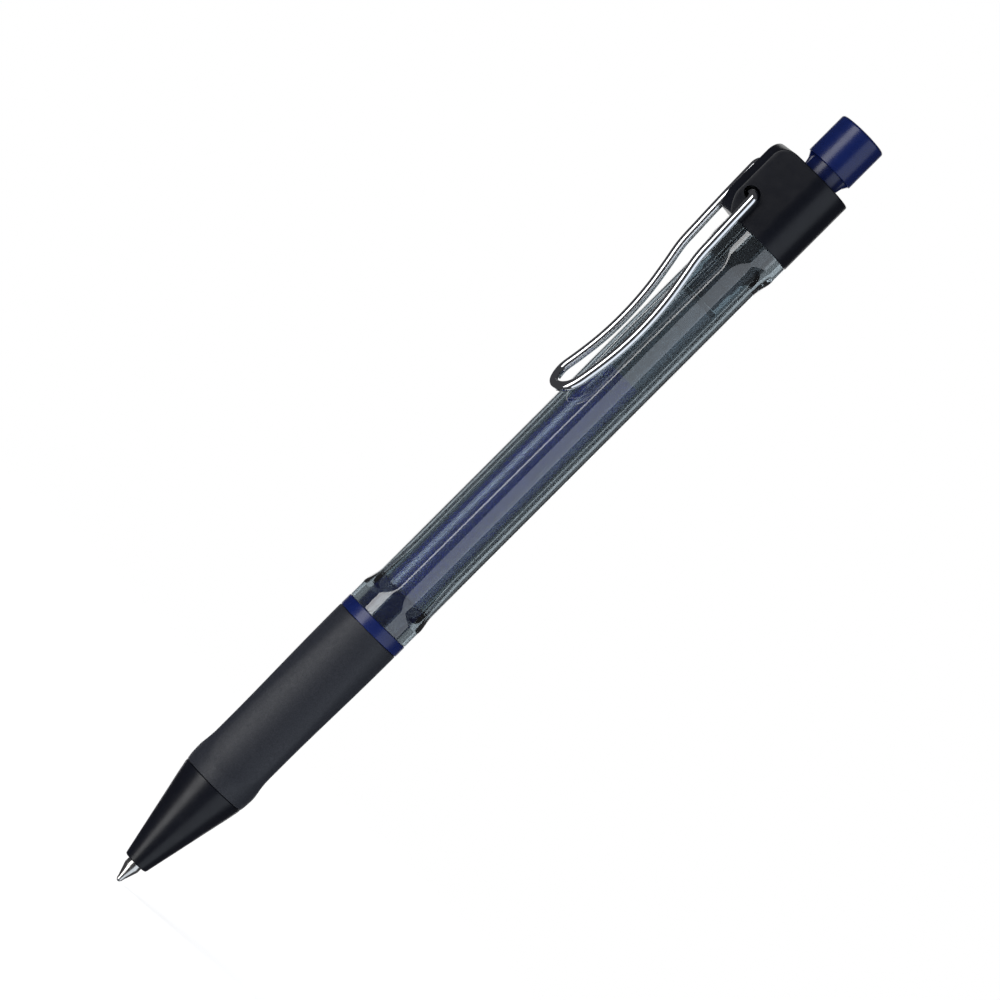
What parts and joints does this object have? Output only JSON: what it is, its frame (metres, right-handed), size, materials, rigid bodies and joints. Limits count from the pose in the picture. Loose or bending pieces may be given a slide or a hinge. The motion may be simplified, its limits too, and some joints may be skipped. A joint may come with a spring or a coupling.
{
  "type": "gel pen",
  "caption": "Retractable gel pen with a clear faceted barrel, soft grip, bent-wire clip, push button and spring-loaded refill.",
  "frame": {"origin": "middle of the pen's footprint, level with the writing ball's lowest point; the pen's own axis is parallel to Z and 1.34 mm towards +Y", "axes": "+Z from the writing tip to the push button, -Y the side that the clip is on, +X across the clip"},
  "size_m": [0.0108, 0.0136, 0.143],
  "materials": {
    "ball_carbide": "polished",
    "tip_metal": "fine turned",
    "holder_plastic": "satin",
    "tube_plastic": "clear, slightly milky",
    "blue_ink": "wet",
    "follower_grease": "translucent",
    "spring_steel": "drawn wire",
    "black_plastic": "satin",
    "navy_plastic": "semi-gloss",
    "grip_rubber": "fine matt texture",
    "smoke_plastic": "clear smoke tint, polished",
    "clip_chrome": "polished wire",
    "mechanism_plastic": "satin",
    "guide_plastic": "satin"
  },
  "bodies": {
    "housing": {"grip_core": "navy_plastic", "grip_sleeve": "grip_rubber", "barrel": "smoke_plastic", "clip_holder": "black_plastic", "cam_guide": "guide_plastic", "return_spring": "spring_steel"},
    "nose": {"nose_cone": "black_plastic"},
    "clip": {"clip_wire": "clip_chrome"},
    "button": {"push_button": "navy_plastic", "plunger": "mechanism_plastic"},
    "refill": {"writing_tip": "tip_metal", "tip_holder": "holder_plastic", "refill_tube": "tube_plastic", "ink_column": "blue_ink", "ink_follower": "follower_grease", "refill_tail_plug": "holder_plastic"},
    "rotor": {"rotor": "mechanism_plastic"},
    "ball": {"tip_ball": "ball_carbide"}
  },
  "joints": [
    {"name": "button_slide", "type": "slide", "parent": "housing", "child": "button", "axis": [0, 0, -1], "range_m": [-0.0055, 0.0015]},
    {"name": "refill_slide", "type": "slide", "parent": "housing", "child": "refill", "axis": [0, 0, -1], "range_m": [-0.0055, 0.0015], "deforming": ["return_spring"]},
    {"name": "rotor_turn", "type": "hinge", "parent": "refill", "child": "rotor", "pos_m": [0, 0.00134, 0.117], "axis": [0, 0, 1], "range_deg": [-45, 12.3]},
    {"name": "ball_roll", "type": "hinge", "parent": "refill", "child": "ball", "pos_m": [0, 0.00134, 0.00035], "axis": [1, 0, 0], "continuous": true},
    {"name": "clip_lift", "type": "hinge", "parent": "housing", "child": "clip", "pos_m": [0, -0.0053, 0.1283], "axis": [-1, 0, 0], "range_deg": [0, 6], "stiffness_Nm_per_rad": 1.2},
    {"name": "nose_unscrew", "type": "slide", "parent": "housing", "child": "nose", "axis": [0, 0, -1], "range_m": [0, 0.0034]}
  ],
  "couplings": [
    {"joint": "refill_slide", "follows": "button_slide", "ratio": 1},
    {"joint": "rotor_turn", "follows": "button_slide", "rad_per_m": 142.8}
  ]
}
